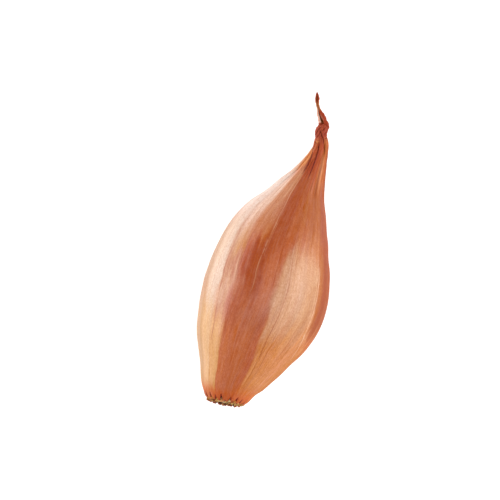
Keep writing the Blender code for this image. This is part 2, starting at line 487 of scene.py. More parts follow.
# Each: the line as (angle, place along), how high it stands, its shade, how strong the shade is.
VEINS = (
    (((137, 60), (136, 50), (136.5, 42), (135.5, 35), (133.5, 27), (132, 20), (132.5, 13)), 0.05, DARK, 0.7),
    (((130, 46), (127.5, 38), (126, 30), (124, 25), (122, 20)), -0.03, DARK, 0.45),
    (((119, 58), (120, 48), (120.5, 42), (118.5, 35)), -0.03, DARK, 0.65),
    (((112.5, 38), (110.5, 33), (111, 21)), -0.03, DARK, 0.35),
    (((105, 80), (105, 71), (102, 64), (100, 58), (101, 50), (103, 42), (103.5, 33)), 0.05, PALE, 0.42),
    (((83, 57), (84, 48), (85.5, 42), (87, 34)), -0.03, DARK, 0.65),
    (((71.5, 44), (71.5, 35), (71, 27), (69.5, 20), (67, 13), (64.5, 8), (63.5, 3)), -0.03, DARK, 0.85),
    (((66, 30), (64, 24), (61, 16), (58, 8), (56, 2)), -0.02, DARK, 0.5),
    (((48, 32), (46.5, 25), (44, 17), (41, 10)), -0.02, DARK, 0.4),
    (((76, 38), (75.5, 30), (74, 24)), -0.03, DARK, 0.55),
    (((57, 29), (55, 22), (52, 16), (50, 9)), -0.03, DARK, 0.35),
    (((42, 26), (40, 20), (38, 15), (32, 8)), -0.03, DARK, 0.3),
    (((37, 50), (37.5, 36), (36, 31), (30, 25), (20, 18)), 0.12, PALE, 0.95),
    (((93, 34), (93.5, 28), (94, 23)), -0.03, DARK, 0.4),
    (((101, 24), (100.5, 17), (99.5, 6)), -0.02, DARK, 0.3),
    (((152, 34), (151, 24), (149, 12)), -0.02, DARK, 0.2),
    (((139, 86), (140, 78), (139, 68), (138, 58)), -0.02, DARK, 0.45),
    (((131, 85), (132, 76), (131, 66), (129, 55)), -0.02, DARK, 0.45),
    (((126, 84), (126, 76), (124, 66), (123, 58)), 0.02, PALE, 0.5),
    (((121, 83), (120.5, 74), (118, 64), (116, 55)), -0.02, DARK, 0.4),
    (((113, 82), (112, 74), (110, 65)), 0.02, PALE, 0.45),
    (((133.5, 52), (132.5, 44), (131, 36), (129.5, 28)), -0.02, DARK, 0.5),
    (((127, 50), (125.5, 42), (124, 34)), -0.02, DARK, 0.45),
    (((124, 48), (123, 40), (121, 32)), 0.02, PALE, 0.35),
    (((129, 44), (128, 36), (126.5, 29)), 0.02, PALE, 0.4),
    (((115, 52), (115.5, 44), (115, 36)), -0.02, DARK, 0.35),
)
# Each: the line, its half width, how high it stands.
CREASES = (
    (((142, 88.2), (125, 86.3), (114, 84), (110, 81), (108, 77)), 0.26, -0.28),
    (((109, 89.8), (100, 88.3), (94, 86.5), (90, 84), (87, 80.5), (86, 75)), 0.24, -0.30),
    (
        (
            (112, 94.2), (100, 93.6), (92, 93), (84, 92), (77, 91.4),
            (69, 90.3), (60, 89.2), (53, 88), (48, 86),
        ),
        0.19,
        -0.32,
    ),
    (((152, 90.2), (140, 89.8), (122, 89.3), (108, 90.0)), 0.20, -0.18),
    (((148, 91.0), (136, 90.8), (118, 90.3), (104, 90.9)), 0.18, -0.16),
    (((20, 91.6), (38, 91.5), (55, 91.4)), 0.22, -0.26),
    (((170, 92.2), (135, 93.4), (104, 95.2)), 0.19, -0.24),
    (((150, 91.4), (115, 92.5), (82, 94.3), (66, 95.6)), 0.18, -0.24),
    (((62, 92.0), (45, 93.4), (30, 95.2)), 0.18, -0.2),
    (((68, 86), (70, 80), (71, 72)), 0.24, -0.16),
    (((52, 84), (54, 78), (56, 70)), 0.26, -0.12),
    (((30, 88), (29, 80), (30, 70)), 0.30, -0.18),
    (((8, 90), (5, 82), (6, 72)), 0.32, -0.28),
    (((-20, 91), (-17, 83), (-20, 73)), 0.32, -0.3),
    (((-48, 90), (-46, 82), (-50, 70)), 0.32, -0.28),
    (((-74, 92), (-70, 84), (-71, 72)), 0.32, -0.3),
    (((-104, 91), (-100, 83), (-98, 73)), 0.32, -0.28),
    (((-130, 92), (-133, 84), (-130, 72)), 0.32, -0.3),
    (((-160, 90), (-164, 82), (-160, 73)), 0.32, -0.28),
)
print(len(VEINS), "veins and", len(CREASES), "creases")

# %% Raise the veins and sink the creases
height = np.zeros_like(angle)
for line, rise, _, _ in VEINS:
    height += rise * line_mark(line, RIDGE_WIDTH, angle, along, half_width)
for line, width, rise in CREASES:
    height += rise * line_mark(line, width, angle, along, half_width)
print("veins and creases stand from", height.min().round(2), "to", height.max().round(2), "mm")

# %% Waves, the hollow of the neck and its wrinkles
LONG_WAVE, SHORT_WAVE = 0.22, 0.07  # millimetres high
NECK_HOLLOW, HOLLOWED = 0.62, (73, 78.5, 88, 91.5)
HOLLOW_MIDDLE, HOLLOW_HALF = 185, 48  # degrees round, half width in degrees
RING_WRINKLE, LONG_WRINKLE, KNOT_WRINKLE = 0.16, 0.13, 0.17  # millimetres high
WRINKLED = (68, 82, 90, 92)  # where the long ones are

waves = soft_noise(lay, 9, 26, seed=1) * LONG_WAVE + soft_noise(lay, 3.2, 16, seed=2) * SHORT_WAVE
height += waves * np.clip(half_width / BELLY_RADIUS, 0.1, 1) * smooth_step(-1, 8, along)
hollow = np.exp(-((wrapped(angle - HOLLOW_MIDDLE) / HOLLOW_HALF) ** 2))
height -= NECK_HOLLOW * hollow * between(HOLLOWED, along)
height += soft_noise(lay, 9, 2.2, seed=3) * RING_WRINKLE * smooth_step(80, 88, along)
height += soft_noise(lay, 2.2, 16, seed=12) * LONG_WRINKLE * between(WRINKLED, along)
# The dry knot at the top of the neck is wrinkled slantwise.
slant = np.array([[0.8, -0.6, 0.0], [0.6, 0.8, 0.0], [0.0, 0.0, 1.0]])
height += soft_noise(points @ slant.T, 0.55, 1, seed=13) * KNOT_WRINKLE * smooth_step(90.2, 91.8, along)
# The floor of the socket and the closed end of the neck stay smooth.
height *= smooth_step(0.9, 0.97, reach)
print("all relief goes from", height.min().round(2), "to", height.max().round(2), "mm")

# %% Tear the rim and move the points
# Where the skin has split at the root end, in degrees round.
SPLITS = (171, 155, 136, 119, 103, 79, 61, 45, 28, 9, -8, -27, -44, -62, -81, -99, -117, -137, -155, -171)
DEPTHS = (2.3, 2.0, 1.5, 1.0, 1.7, 1.1, 1.4, 1.0, 0.7)  # of the splits in mm, taken in turn
SPLIT_DEPTHS = [DEPTHS[number % len(DEPTHS)] for number in range(len(SPLITS))]
SPLIT_WIDTH = 4.8  # half width at the rim, in degrees
# The lip of skin below the root: how far it hangs out in mm, its middle in degrees round, how wide it is.
RIM_LIP, LIP_MIDDLE, LIP_SPREAD = 1.4, -98.0, 1.25
RIM_RAGGED = 0.35  # millimetres
TORN_END = 1.6  # place along where the tearing ends
NECK_RAGGED, NECK_ASLANT, ASLANT_TOWARD = 0.45, 0.35, 60  # millimetres, millimetres, degrees round


def lip_share(angle):
    """How much of the lip there is at an angle round the rim."""
    return np.clip(np.cos(np.radians(wrapped(angle - LIP_MIDDLE)) / LIP_SPREAD), 0, 1) ** 1.2


# At the rim the skin is torn back between its points, and hangs a little further out below the root.
cut = np.zeros_like(angle)
for split, depth in zip(SPLITS, SPLIT_DEPTHS):
    cut = np.maximum(cut, depth * np.clip(1 - np.abs(wrapped(angle - split)) / SPLIT_WIDTH, 0, 1))
cut += RIM_RAGGED * soft_noise(lay_round, 1.5, 1, seed=4) - RIM_LIP * lip_share(angle)
cut *= (1 - smooth_step(ROOT_END, TORN_END, along)) * smooth_step(0.5, 0.85, reach)
# The neck's end is ragged and cut off a little aslant.
ragged = NECK_RAGGED * soft_noise(lay_round, 7, 1, seed=11)
ragged -= NECK_ASLANT * np.sin(np.radians(angle - ASLANT_TOWARD))
cut += ragged * smooth_step(NECK_END - 2.2, NECK_END - 0.2, along)
slid = along + cut
on_bulb = np.clip(slid, ROOT_END, NECK_END)
centre_there, across_there, half_there = sections(BULB_STATIONS, on_bulb)
ahead_there = np.stack([-across_there[:, 1], across_there[:, 0], np.zeros_like(along)], -1)

radial = (points - centre) * (swell * half_there / half_width)[:, None]
outward = radial / np.linalg.norm(radial, axis=1)[:, None]
sculpted = centre_there + radial + outward * height[:, None] + ahead_there * (slid - on_bulb)[:, None]
move_points(bulb, sculpted)
print("the skin is torn back by up to", cut.max().round(2), "mm")

# %% [markdown]
# ## The colours of the skin
# A shallot's skin is a few dead leaf bases, one over the other. Where the copper outermost one is thin
# or torn away, the golden one below shows, so the colour comes in long panels with sharp sides and
# feathered ends. They are painted here as bands on the skin, one over the other, each with its own edges,
# and kept as a colour on each point of the mesh. The fine grain is left to the material.
# Some of the palest bands on the flanks are partly a painted highlight, and the creases are darkened with
# painted shade.

# %% The panels from the bottom one up
# Each: colour, left edge and right edge in degrees, or as (place along, degrees) points, softness of the
# two edges in degrees, start and end in millimetres along, how far the ends feather, strength.
PANELS = (
    # the side that lies down
    ("c5843f", 240, 204, (1, 8), -2, 60, 12, 0.9),
    ("d08a50", 312, 276, (1, 1), -2, 48, 12, 0.9),
    ("bd6a3c", 345, 312, (2, 8), -2, 60, 12, 0.8),
    # the pale left flank: its palest bands are partly the skin's own colour and partly a painted highlight
    ("c48f58", 215, 136, (10, 0.8), -3, 32, 8, 1.0),
    ("bc8c66", 208, 136, (10, 1.5), 30, 60, 8, 1.0),
    ("c9a288", 208, 135, (10, 4), 58, 84, 6, 1.0),
    ("dba775", ((10, 156), (17, 152)), 136, (5, 0.8), -3, 27, 7, 1.0),
    ("dfbca4", ((27, 151), (34, 153)), 137, (5, 1.5), 26, 58, 6, 1.0),
    ("e8cabb", 162, 135, (6, 4), 57, 84, 6, 1.0),
    # the gold panel beside it, and the tan one above
    ("da9c62", 136, ((0, 119), (10, 118), (18, 116.5), (24, 120), (28, 124)), (0.7, 0.8), -2, 24, 5, 1.0),
    ("d58e5c", 124, 115, (3, 2), 15, 26, 3, 0.8),
    ("cd8d68", 137, ((20, 123), (40, 120)), (1.5, 3), 23, 44, 5, 1.0),
    ("cf9873", 138, 127, (3, 4), 45, 57, 4, 1.0),
    ("c67d38", 132, 121, (2, 2), 46, 55, 4, 0.85),
    ("c98a52", 134, 129, (1.5, 1.5), 40, 50, 6, 0.6),
    ("eac0a8", 139, 122, (4, 5), 55, 76, 5, 1.0),
    ("d08a62", 124, ((50, 107), (60, 102), (75, 106)), (5, 2.5), 53, 80, 5, 1.0),
    # the copper top
    (
        "c86a40",
        ((0, 119), (10, 118), (18, 116.5), (26, 119)),
        ((0, 64), (8, 69), (18, 76), (25, 79)),
        (0.8, 1.2), -3, 26, 5, 1.0,
    ),
    ("d1774c", 119, 107, (1, 4), 3, 20, 3, 0.7),
    (
        "bd6542",
        ((20, 122), (28, 124), (36, 125), (42, 120)),
        ((20, 80), (34, 83)),
        (2.5, 1.3), 22, 38, 4, 0.9,
    ),
    ("d08660", 124, 112, (3, 3), 30, 39, 3, 0.5),
    ("bd7046", 131, 121, (3, 3), 40, 46, 3, 0.7),
    ("e8b795", 133, 125, (3, 3), 30, 38, 3, 0.35),
    ("dba888", 140, 130, (2, 2), 26, 34, 3, 0.6),
    ("ae4f20", 118, 106, (7, 3), 37, 48.5, 4, 0.8),
    (
        "a64210",
        ((0, 114), (47, 114), (52, 106), (58, 100)),
        ((30, 97), (45, 95), (55, 92)),
        (5, 5), 33, 54, 6, 0.9,
    ),
    ("cb7047", 96, 84, (3, 1.5), 30, 48, 5, 0.7),
    ("b55a30", ((45, 104), (60, 101), (75, 105)), ((50, 84), (75, 76)), (2, 5), 51, 79, 6, 1.0),
    ("bf6a44", 110, 98, (4, 3), 56, 72, 5, 0.5),
    ("c06a34", 122, 100, (4, 4), 53, 60, 4, 0.5),
    # the orange right side
    (
        "d98a50",
        ((0, 65), (8, 70), (18, 76), (25, 79)),
        ((0, -10), (14, 0), (26, 24), (34, 38)),
        (1.4, 4), -2, 32, 8, 1.0,
    ),
    # The pale bands d49e77, dc9c70 and e4aa84 below are partly the skin's own colour and partly a painted
    # highlight.
    ("d49e77", ((25, 79), (35, 83), (45, 79), (55, 72)), 38, (4.5, 1.2), 28, 51, 9, 1.0),
    ("c98a5c", 51, ((26, 22), (34, 37)), (5, 1.2), 26, 44, 6, 0.7),
    ("dc9c70", 66, 46, (5, 5), 43, 52, 7, 0.5),
    ("e4aa84", ((20, 76), (33, 82)), 60, (1.5, 6), 24, 36, 5, 0.75),
    ("e4aa84", ((33, 82), (42, 82), (50, 75)), 60, (6, 6), 36, 47, 5, 0.7),
    ("b25c26", ((50, 81), (75, 77)), 36, (7, 4), 57, 80, 11, 1.0),
    ("d08a50", 60, 36, (5, 5), 51, 62, 5, 0.4),
    ("ab5519", 60, 30, (6, 5), 60, 80, 7, 0.8),
    ("c67634", 26, -14, (10, 12), -2, 24, 6, 1.0),
    ("b25f24", ((20, 10), (26, 24), (30, 31), (34, 38)), -12, (1.2, 12), 27, 57, 5, 1.0),
    # The next three deepen the right rim where it turns under, away from the light: copper skin with painted
    # shade.
    ("a04410", ((20, 4), (26, 20), (32, 30)), -15, (4, 12), 31, 60, 6, 0.8),
    ("a54a1c", 37, -12, (4, 12), 55, 82, 6, 1.0),
    ("8c3008", 9, -40, (7, 12), 50, 76, 6, 0.5),
    # the neck
    ("e0ae90", 172, 140, (8, 6), 76, 88.5, 3, 0.9),
    ("ae4408", ((75, 103), (82, 117)), 76, (5, 4), 77.5, 92, 3, 0.95),
    ("a63408", 97, 82, (4, 4), 79, 88, 3, 0.8),
    ("c0662f", 66, 12, (3, 10), 76, 91, 4, 0.95),
    ("dd8c5e", 58, 45, (4, 4), 77, 85, 3, 0.9),
    ("b24c06", 79, 62, (2, 3), 75, 88, 3, 0.9),
    (
        "d88546",
        ((79, 146), (82, 150), (85, 156)),
        ((78, 136), (81, 117), (84, 117), (87, 136)),
        (6, 2), 78.5, 87.4, 1.4, 0.95,
    ),
    ("c45a28", 111, 98, (3, 3), 83.5, 87.5, 1.2, 0.9),
    ("b05020", 170, ((86, 122), (90, 104)), (8, 4), 87.4, 91, 0.8, 0.85),
    ("b54820", ((86, 84), (90, 96)), 62, (3, 3), 87, 91.2, 1.2, 0.9),
    ("cf7a3c", 144, 106, (6, 6), 89.6, 90.5, 0.4, 0.8),
    ("a63e1e", 360, 0, (1, 1), 91.3, 99, 1.0, 0.95),
    ("a8402a", 64, 32, (5, 5), 92.0, 95.5, 0.8, 0.8),
    ("a03a1c", 108, 70, (5, 5), 89.5, 92.5, 0.8, 0.7),
    # the root end
    ("cb5f1e", 360, 0, (1, 1), -4, 1.6, 2.0, 0.9),
    ("cf6a24", 78, 10, (8, 10), -4, 5, 3, 0.7),
    ("cc6a30", 190, 122, (8, 6), -4, 3.0, 2.0, 0.7),
    ("d0602c", 132, 30, (8, 8), -4, 1.4, 1.2, 0.6),
)
print(len(PANELS), "panels in", len({panel[0] for panel in PANELS}), "colours")


# %% Paint the panels
def edge_at(edge, along):
    """The angle of a panel's edge at places along."""
    points = edge if isinstance(edge, tuple) else ((0, edge),)
    return np.interp(along, [place for place, _ in points], [degrees for _, degrees in points])


def panel_mask(panel, angle, along):
    """1 in the panel and 0 outside it."""
    _, left, right, (left_soft, right_soft), start, end, feather, strength = panel
    left, right = edge_at(left, along), edge_at(right, along)
    half = (left - right) / 2
    off = wrapped(angle - (left + right) / 2)
    mask = smooth_step(-left_soft, left_soft, half - off) * smooth_step(-right_soft, right_soft, half + off)
    if half.min() >= 180:
        mask[:] = 1
    ends = (start - feather, start + feather, end - feather, end + feather)
    return mask * between(ends, along) * strength


def mixed(under, over, share):
    """One colour mixed over another by a share for each point."""
    return under + (np.array(linear(over)[:3]) - under) * share[:, None]


BASE_COPPER = "c2653b"
FEATHER, FRAY, FEATHERED = 4.5, 0.8, (4, 20, 70, 84)  # millimetres
WAVER, RIPPLE = 1.1, 0.5  # degrees

# The panels' ends are feathered along the fibres, and their sides waver.
feathered = along + FEATHER * soft_noise(lay, 1.3, 12, seed=5) * between(FEATHERED, along)
feathered += FRAY * soft_noise(lay, 1.3, 4, seed=6)
wavering = angle + WAVER * soft_noise(lay, 20, 7, seed=7) + RIPPLE * soft_noise(lay, 5, 2.5, seed=8)
colour = np.tile(linear(BASE_COPPER)[:3], (len(points), 1))
for panel in PANELS:
    colour = mixed(colour, panel[0], panel_mask(panel, wavering, feathered))
print("mean colour, linear:", colour.mean(0).round(3))

# %% Paint shade into the creases and place the veins
CREASE_SHADOW_TINT = "6e1c06"
FINE_VEINS = 70  # faint ones, all round
FAR = 9.0  # millimetres from a vein where nothing of it shows
FADE_IN, FADE_OUT = 5, 6  # millimetres at a vein's start and end
CROWDED, TOO_CROWDED = 0.28, 0.45  # of the way to the next vein, over which a wide line is cut off
CREASE_SHADE, CREASE_DARKEST = 3.0, 0.85  # how dark for each millimetre of depth, and at most

# Painted shade: each crease is darkened more the deeper it is sunk.
for line, width, rise in CREASES:
    crease_shadow = line_mark(line, width * 0.8, angle, along, half_width)
    colour = mixed(colour, CREASE_SHADOW_TINT, min(CREASE_DARKEST, -CREASE_SHADE * rise) * crease_shadow)

pick = random.Random(11)
veins = [(line, shade, strength) for line, _, shade, strength in VEINS]
for i in range(FINE_VEINS):
    start_angle = 360 * (i + pick.uniform(-0.3, 0.3)) / FINE_VEINS
    start, length, drift = pick.uniform(1, 40), pick.uniform(16, 50), pick.uniform(-4, 4)
    line = tuple((start_angle + drift * t * t, start + length * t) for t in (1, 0.5, 0))
    shade = DARK if pick.random() < 0.75 else PALE
    veins.append((line, shade, pick.uniform(0.08, 0.3)))

# Each point keeps its sideways distance to the nearest vein, with a sign, so that a thin line can be
# drawn between two points of the mesh, and how strong that vein is.
vein_gap = np.full(len(points), FAR)
vein_shade = {DARK: np.zeros(len(points)), PALE: np.zeros(len(points))}
broken = np.clip(0.7 + 0.6 * soft_noise(lay, 4, 5, seed=9), 0.2, 1)
for line, shade, strength in veins:
    turns = [degrees for degrees, _ in reversed(line)]
    places = [place for _, place in reversed(line)]
    gap = wrapped(wavering - np.interp(along, places, turns)) * np.radians(1) * half_width
    here = between((places[0], places[0] + FADE_IN, places[-1] - FADE_OUT, places[-1]), along) * broken
    near = (np.abs(gap) < np.abs(vein_gap)) & (here > 0.02)
    vein_gap = np.where(near, gap, vein_gap)
    for kind in vein_shade:
        vein_shade[kind] = np.where(near, strength * here if kind == shade else 0, vein_shade[kind])
vein_spacing = np.radians(360 / FINE_VEINS) * half_width
close = 1 - smooth_step(CROWDED, TOO_CROWDED, np.abs(vein_gap) / vein_spacing)
print("placed", len(veins), "veins")

# %% Paint the root end
SPLIT_RED, SCORCHED, SOCKET_SHADE = "861a00", "8c2408", "4a2812"
SLIT_WIDTH = 0.36  # half width in millimetres
SLIT_OUT, SLIT_IN = 1.2, 0.6  # millimetres that a slit reaches past the rim and into the skin
SLIT_SKEW = 1.5  # degrees

slits = np.zeros_like(angle)
for split, depth in zip(SPLITS, SPLIT_DEPTHS):
    slit = ((split, ROOT_END - SLIT_OUT), (split + SLIT_SKEW, ROOT_END + SLIT_IN + 0.6 * depth))
    slits = np.maximum(slits, line_mark(slit, SLIT_WIDTH, angle, along, half_width))
colour = mixed(colour, SPLIT_RED, 0.95 * slits)
blotches = np.clip(1.2 * soft_noise(lay, 1.6, 0.8, seed=10), 0, 1)
colour = mixed(colour, SCORCHED, 0.5 * blotches * (1 - smooth_step(ROOT_END, TORN_END, along)))
# Painted shade in the hollow of the socket at the root end.
colour = mixed(colour, SOCKET_SHADE, (1 - smooth_step(0.80, 0.93, reach)) * (1 - smooth_step(0, 2, along)))
print("painted", len(SPLITS), "splits and the socket")

# %% Keep the colours, the gloss and the veins on the mesh
WAXED_ROUGHNESS, DULL_ROUGHNESS = 0.40, 0.90
WAXED = (-1, 8, 70, 90)  # places along
LEAST_WAX, RUBBED = 0.35, 0.92  # share of the gloss kept off the belly, share lost on the side it lies on
RUBBED_MIDDLE = -30  # degrees round


def keep_on_points(piece, name, kind, field, values):
    """Keeps a value on each point of a piece."""
    layer = piece.data.attributes.new(name, kind, "POINT")
    layer.data.foreach_set(field, values.ravel())


def keep_colours(piece, name, colours):
    """Keeps a linear colour on each point of a piece."""
    opaque = np.hstack([colours, np.ones((len(colours), 1))])
    keep_on_points(piece, name, "FLOAT_COLOR", "color", opaque)


# The gathered neck and the torn rim are dull, and so is the side it lies on. The belly keeps its wax.
rubbed_side = np.clip(np.cos(np.radians(angle - RUBBED_MIDDLE)), 0, 1)
gloss = (LEAST_WAX + (1 - LEAST_WAX) * between(WAXED, along)) * (1 - RUBBED * rubbed_side)
dullness = DULL_ROUGHNESS + (WAXED_ROUGHNESS - DULL_ROUGHNESS) * gloss
vein = np.stack([vein_gap, vein_shade[DARK] * close, vein_shade[PALE] * close], -1)
keep_on_points(bulb, "dullness", "FLOAT", "value", dullness)
keep_colours(bulb, "skin_colour", colour)
keep_on_points(bulb, "lay", "FLOAT_VECTOR", "vector", lay)
keep_on_points(bulb, "vein", "FLOAT_VECTOR", "vector", vein)
print("roughness from", dullness.min().round(2), "to", dullness.max().round(2))

# %% [markdown]
# ## The papery skin
# Onion skin is thin dead plant tissue: fibres that run lengthwise, with a waxy satin surface. Light
# glances off it in broad soft gleams, like off eggshell paint, so it has a middling roughness, which
# rises where the skin is gathered, torn or rubbed, and the refractive index of wax and cellulose. The
# fibres show as fine lengthwise streaks in its colour and as faint ridges, and the cells as a grain of
# less than half a millimetre.

# %% The skin's grain
PLANT_IOR = 1.45  # of wax and of cellulose
# Each: how many millimetres its blotches are across the bulb and along it, detail.
SKIN_GRAINS = {
    "broad": (3.4, 38, 4),
    "fibres": (0.55, 14, 2),
    "cells": (0.42, 0.55, 1),
    "mottle": (1.4, 2.6, 2),
}


def add_node(tree, kind, inputs=None, **settings):
    """Adds a node: its settings, and its inputs as values or as the sockets that feed them."""
    made = tree.nodes.new(kind)
    for name, value in settings.items():
        setattr(made, name, value)
    for name, value in (inputs or {}).items():
        if isinstance(value, bpy.types.NodeSocket):
            tree.links.new(value, made.inputs[name])
        else:
            made.inputs[name].default_value = value
    return made


skin = bpy.data.materials.new("papery onion skin")
skin.use_nodes = True
tree = skin.node_tree
shader = tree.nodes["Principled BSDF"]
on_skin = {}
for name in ("skin_colour", "lay", "vein", "dullness"):
    on_skin[name] = add_node(tree, "ShaderNodeAttribute", attribute_name=name)
grains = {}
for name, (across_mm, along_mm, detail) in SKIN_GRAINS.items():
    per_mm = (1 / across_mm, 1 / across_mm, 1 / along_mm)
    drawn_out = {0: on_skin["lay"].outputs["Vector"], 1: per_mm}
    place = add_node(tree, "ShaderNodeVectorMath", drawn_out, operation="MULTIPLY")
    noise_inputs = {"Vector": place.outputs[0], "Scale": 1.0, "Detail": detail}
    grains[name] = add_node(tree, "ShaderNodeTexNoise", noise_inputs).outputs["Fac"]
fine = add_node(tree, "ShaderNodeMath", {0: grains["fibres"], 1: grains["mottle"]}, operation="ADD")
print("grains of the skin:", sorted(grains))

# %% Tint the skin with its grain
# What the grains do to the colour: the grain, its low and high, and what is given there. Where the wax
# is thicker the skin looks paler, so they change its saturation too.
EFFECTS = {
    "broad tone": (grains["broad"], 0.3, 0.7, 0.925, 1.075),
    "hue": (grains["broad"], 0.3, 0.7, 0.496, 0.504),
    "fine tone": (fine.outputs[0], 0.7, 1.3, 0.955, 1.045),
    "saturation": (fine.outputs[0], 0.7, 1.3, 1.06, 0.95),
    "cell": (grains["cells"], 0.3, 0.7, 0.0, 1.0),
}
effects = {}
for name, (grain, low, high, given_low, given_high) in EFFECTS.items():
    ends = {"Value": grain, "From Min": low, "From Max": high, "To Min": given_low, "To Max": given_high}
    effects[name] = add_node(tree, "ShaderNodeMapRange", ends).outputs[0]
tones = {0: effects["broad tone"], 1: effects["fine tone"]}
tone = add_node(tree, "ShaderNodeMath", tones, operation="MULTIPLY")
toned = add_node(
    tree,
    "ShaderNodeHueSaturation",
    {
        "Color": on_skin["skin_colour"].outputs["Color"],
        "Value": tone.outputs[0],
        "Saturation": effects["saturation"],
        "Hue": effects["hue"],
    },
)
cell_ends = {0: effects["cell"], 6: (0.92, 0.83, 0.76, 1), 7: (1.08, 1.17, 1.24, 1)}
cell_tint = add_node(tree, "ShaderNodeMix", cell_ends, data_type="RGBA")
layers = {0: 1.0, 6: toned.outputs["Color"], 7: cell_tint.outputs[2]}
speckled = add_node(tree, "ShaderNodeMix", layers, data_type="RGBA", blend_type="MULTIPLY")
print("the grain changes its", ", ".join(EFFECTS))

# %% Draw the veins and put the skin on
DARK_LINE, PALE_LINE = "a43c0a", "efc09c"
VEIN_WIDTH = 0.27  # half width in millimetres
SKIN_RELIEF = 0.07 * MM

# A vein is drawn where the distance to it, which each point keeps, is less than its half width.
vein_parts = add_node(tree, "ShaderNodeSeparateXYZ", {0: on_skin["vein"].outputs["Vector"]})
distance = add_node(tree, "ShaderNodeMath", {0: vein_parts.outputs["X"]}, operation="ABSOLUTE")
vein_line = add_node(
    tree,
    "ShaderNodeMapRange",
    {"Value": distance.outputs[0], "From Min": 0.0, "From Max": VEIN_WIDTH, "To Min": 1.12, "To Max": 0.0},
    interpolation_type="SMOOTHSTEP",
)
veined, vein_marks = speckled.outputs[2], []
for part, tint in (("Y", DARK_LINE), ("Z", PALE_LINE)):
    strengths = {0: vein_line.outputs[0], 1: vein_parts.outputs[part]}
    mark = add_node(tree, "ShaderNodeMath", strengths, operation="MULTIPLY").outputs[0]
    tinted = add_node(tree, "ShaderNodeMix", {0: mark, 6: veined, 7: linear(tint)}, data_type="RGBA")
    veined = tinted.outputs[2]
    vein_marks.append(mark)

# Fibres and cells stand up a little, and the dark veins are sunk.
raised = add_node(tree, "ShaderNodeMath", {0: grains["fibres"], 1: grains["cells"]}, operation="ADD")
sunk = {0: vein_marks[0], 1: -0.2, 2: raised.outputs[0]}
relief = add_node(tree, "ShaderNodeMath", sunk, operation="MULTIPLY_ADD")
bump_inputs = {"Height": relief.outputs[0], "Strength": 0.6, "Distance": SKIN_RELIEF}
bump = add_node(tree, "ShaderNodeBump", bump_inputs)
tree.links.new(veined, shader.inputs["Base Color"])
tree.links.new(on_skin["dullness"].outputs["Fac"], shader.inputs["Roughness"])
tree.links.new(bump.outputs["Normal"], shader.inputs["Normal"])
shader.inputs["IOR"].default_value = PLANT_IOR
bulb.data.materials.append(skin)
print("bulb in", skin.name, "of", len(tree.nodes), "nodes")


# %% Lay the bulb down
def lay_down(piece):
    """Gives a finished piece the tilt and place of the solid, and keeps its object at the origin."""
    select_only(piece)
    piece.matrix_world = LAID
    bpy.ops.object.transform_apply(location=True, rotation=True, scale=True)


lay_down(bulb)
laid_points = mesh_points(bulb)
laid_points[:, 2] = np.maximum(laid_points[:, 2], 0)
move_points(bulb, laid_points)
print("flat it rests on:", np.ptp(laid_points[laid_points[:, 2] == 0], axis=0)[:2].round(1), "mm")
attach(bulb, "root")
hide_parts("bulb")

# %% [markdown]
# ## The dry leaf tip
# The neck is what is left of the leaves. One of them stands out of it as a rolled brown strand. It is a
# strip of dead leaf whose two edges curl in: it lies open where it leaves the neck, is twisted shut half
# way, and gapes once more just below its tip. So it is modelled as a flat grid that is rolled up, place
# by place, and then given the thickness of a dry leaf.

# %% Roll the leaf from a flat strip
LEAF_THICKNESS = 0.14
LEAF_ROWS, LEAF_COLUMNS = 90, 26
LEAF_SQUASH = 0.72  # height of the roll over its width
TUCK, TUCK_START, TUCK_END = 0.22, 370, 450  # share by which the right edge tucks in, and its degrees round
# Each: share of the width, waves along the leaf and across it.
CRINKLES = ((0.07, 2.1, 3), (0.05, 5.3, -5))
# Each: place along, sideways, half width, height, angle of the left edge and of the right edge.
LEAF_STATIONS = (
    (93.6, 0.25, 1.25, 0.1, 150, 420),
    (95.2, 0.30, 1.75, 0.1, 148, 430),
    (96.1, 0.22, 1.78, 0.1, 135, 448),
    (97.0, -0.18, 1.50, 0.1, 124, 450),
    (98.0, -0.98, 1.36, 0.1, 120, 457),
    (99.0, -1.88, 1.16, 0.15, 119, 463),
    (99.8, -2.50, 0.92, 0.2, 118, 465),
    (100.5, -2.95, 0.62, 0.25, 112, 464),
    (101.2, -3.48, 0.50, 0.25, 104, 460),
    (102.0, -3.98, 0.48, 0.2, 106, 456),
    (102.9, -4.36, 0.58, 0.1, 118, 440),
    (103.9, -4.66, 0.68, 0.05, 122, 434),
    (104.8, -5.08, 0.52, 0.0, 116, 436),
    (105.9, -5.46, 0.16, 0.0, 100, 446),
)
leaf_table = np.array(LEAF_STATIONS)


def make_leaf():
    """A grid, rolled into the leaf strip. Gives the piece, and each point's place along and share across."""
    bpy.ops.object.select_all(action="DESELECT")
    bpy.ops.mesh.primitive_grid_add(x_subdivisions=LEAF_COLUMNS, y_subdivisions=LEAF_ROWS, size=2)
    leaf = bpy.context.object
    leaf.name = leaf.data.name = "dry_leaf"
    flat = mesh_points(leaf) * MM
    across_share, along_share = flat[:, 0], (flat[:, 1] + 1) / 2
    ends = leaf_table[:, 0]
    place = ends[0] + (ends[-1] - ends[0]) * along_share
    columns = [through(leaf_table[:, [0, i, i]], place)[0] for i in range(1, 6)]
    sideways, half_width, height, left, right = columns
    angle = np.radians(left + (right - left) * (across_share + 1) / 2)
    tuck = 1 - TUCK * smooth_step(np.radians(TUCK_START), np.radians(TUCK_END), angle)
    crinkle = np.ones_like(place)
    for share, waves_along, waves_across in CRINKLES:
        crinkle += share * np.sin(place * waves_along + waves_across * across_share)
    turn = np.arctan(np.interp(place, ends, np.gradient(leaf_table[:, 1], ends)))
    reach = half_width * tuck * crinkle
    x, z = reach * np.cos(angle), reach * np.sin(angle) * LEAF_SQUASH
    rolled = np.stack([sideways + x * np.cos(turn), place - x * np.sin(turn), height + z], -1)
    move_points(leaf, rolled)
    return leaf, place, across_share


